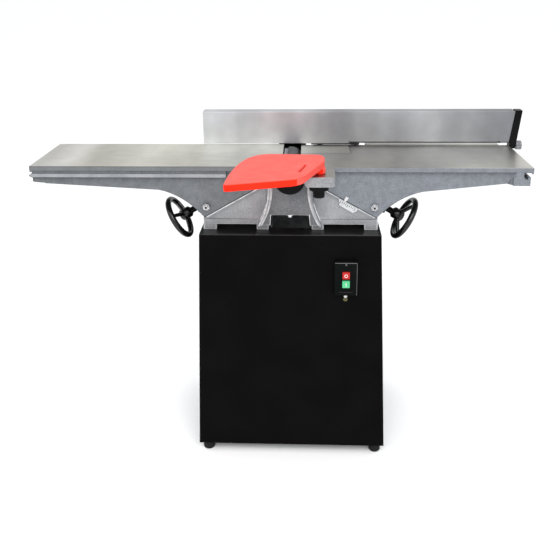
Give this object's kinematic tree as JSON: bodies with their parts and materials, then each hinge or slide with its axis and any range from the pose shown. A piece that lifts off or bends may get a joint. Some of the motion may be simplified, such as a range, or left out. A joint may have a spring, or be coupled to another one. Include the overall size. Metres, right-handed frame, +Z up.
{
  "type": "jointer",
  "caption": "Floor-standing woodworking jointer: cabinet stand, inclined-way base casting, infeed and outfeed tables, tilting fence, swinging cutter guard and two lift handwheels",
  "frame": {"origin": "on the floor below the middle of the whole machine's box", "axes": "X along the feed with the infeed table at +X, Y from front to back, Z up"},
  "size_m": [1.2388, 0.682, 0.8793],
  "materials": {
    "cabinet_paint": "satin black powder coat on sheet steel",
    "casting_paint": "silver grey paint on cast iron",
    "ground_iron": "precision ground cast iron",
    "guard_paint": "smooth red paint on a casting",
    "black_enamel": "gloss black enamel",
    "wheel_black": "moulded gloss black",
    "switch_black": "moulded matte black",
    "button_red": "moulded red",
    "button_green": "moulded green",
    "rubber_black": "moulded rubber",
    "belt_rubber": "rubber belt with fabric jacket",
    "bright_steel": "turned or plated steel",
    "tool_steel": "ground tool steel",
    "pulley_iron": "turned cast iron",
    "motor_paint": "dark grey paint",
    "chute_zinc": "zinc-coated sheet",
    "scale_plate": "printed aluminium strip",
    "brass_part": "machined brass"
  },
  "bodies": {
    "stand": {"cabinet_shell": "cabinet_paint", "cabinet_top": "cabinet_paint", "rear_panel": "cabinet_paint", "cover_screws": "bright_steel", "rubber_feet": "rubber_black", "foot_studs": "bright_steel", "base_casting": "casting_paint", "base_bolts": "bright_steel", "front_bearing_block": "black_enamel", "rear_bearing_block": "black_enamel", "head_bearings": "bright_steel", "block_bolts": "bright_steel", "lift_nuts": "brass_part", "chip_chute": "chute_zinc", "dust_port": "cabinet_paint", "motor_shelf": "cabinet_paint", "motor_housing": "motor_paint", "motor_bolts": "bright_steel", "drive_belt": "belt_rubber", "belt_guard": "cabinet_paint", "switch_box": "switch_black", "switch_plate": "switch_black", "earth_terminal": "brass_part", "depth_scale": "scale_plate", "fence_support": "casting_paint", "support_bolts": "bright_steel"},
    "cutter": {"cutterhead": "tool_steel", "knives": "tool_steel", "knife_wedges": "tool_steel", "wedge_screws": "bright_steel", "head_pulley": "pulley_iron"},
    "motor_rotor": {"motor_shaft": "bright_steel", "motor_pulley": "pulley_iron"},
    "outfeed": {"outfeed_table": "ground_iron", "outfeed_gib": "bright_steel", "outfeed_lock_bolt": "bright_steel"},
    "outfeed_wheel": {"outfeed_screw": "black_enamel", "outfeed_handwheel": "wheel_black", "outfeed_collar": "bright_steel"},
    "infeed": {"infeed_table": "ground_iron", "infeed_gib": "bright_steel", "infeed_lock_bolt": "bright_steel", "depth_pointer": "bright_steel"},
    "infeed_wheel": {"infeed_screw": "black_enamel", "infeed_handwheel": "wheel_black", "infeed_collar": "bright_steel"},
    "guard": {"cutter_guard": "guard_paint", "guard_post": "bright_steel", "guard_knob": "wheel_black"},
    "carriage": {"fence_carriage": "casting_paint", "pivot_pins": "bright_steel"},
    "fence_assembly": {"fence": "ground_iron", "fence_end_plate": "black_enamel", "fence_end_nut": "bright_steel"},
    "fence_lock": {"fence_lock_lever": "black_enamel"},
    "tilt_lock": {"tilt_lock_lever": "black_enamel"},
    "start": {"start_button": "button_green"},
    "stop": {"stop_button": "button_red"}
  },
  "joints": [
    {"name": "head_spin", "type": "hinge", "parent": "stand", "child": "cutter", "pos_m": [0.0126, -0.011, 0.759], "axis": [0, 1, 0], "continuous": true},
    {"name": "motor_spin", "type": "hinge", "parent": "stand", "child": "motor_rotor", "pos_m": [0.0126, -0.011, 0.215], "axis": [0, 1, 0], "continuous": true},
    {"name": "infeed_lift", "type": "slide", "parent": "stand", "child": "infeed", "axis": [-0.866, 0, 0.5], "range_m": [-0.0194, 0.006]},
    {"name": "outfeed_lift", "type": "slide", "parent": "stand", "child": "outfeed", "axis": [0.866, 0, 0.5], "range_m": [-0.0194, 0.002]},
    {"name": "infeed_crank", "type": "hinge", "parent": "infeed", "child": "infeed_wheel", "pos_m": [0.28572, -0.011, 0.63153], "axis": [-0.866, 0, 0.5], "range_deg": [-2328, 720]},
    {"name": "outfeed_crank", "type": "hinge", "parent": "outfeed", "child": "outfeed_wheel", "pos_m": [-0.26052, -0.011, 0.63153], "axis": [0.866, 0, 0.5], "range_deg": [-2328, 240]},
    {"name": "guard_swing", "type": "hinge", "parent": "infeed", "child": "guard", "pos_m": [0.0816, -0.161, 0.8], "axis": [0, 0, 1], "range_deg": [-110, 10]},
    {"name": "fence_slide", "type": "slide", "parent": "stand", "child": "carriage", "axis": [0, -1, 0], "range_m": [0, 0.14]},
    {"name": "fence_tilt", "type": "hinge", "parent": "carriage", "child": "fence_assembly", "pos_m": [0.1626, 0.112, 0.8073], "axis": [-1, 0, 0], "range_deg": [0, 45]},
    {"name": "slide_lock", "type": "hinge", "parent": "stand", "child": "fence_lock", "pos_m": [0.1626, 0.181, 0.805], "axis": [0, 0, 1], "range_deg": [-30, 30]},
    {"name": "tilt_lock", "type": "hinge", "parent": "carriage", "child": "tilt_lock", "pos_m": [0.2016, 0.112, 0.8073], "axis": [1, 0, 0], "range_deg": [-45, 4]},
    {"name": "start_press", "type": "slide", "parent": "stand", "child": "start", "axis": [0, 1, 0], "range_m": [0, 0.003], "stiffness_N_per_m": 600},
    {"name": "stop_press", "type": "slide", "parent": "stand", "child": "stop", "axis": [0, 1, 0], "range_m": [0, 0.003], "stiffness_N_per_m": 600}
  ],
  "couplings": [
    {"joint": "motor_spin", "follows": "head_spin", "ratio": 0.53192},
    {"joint": "infeed_crank", "follows": "infeed_lift", "rad_per_m": 2094.4},
    {"joint": "outfeed_crank", "follows": "outfeed_lift", "rad_per_m": 2094.4}
  ]
}
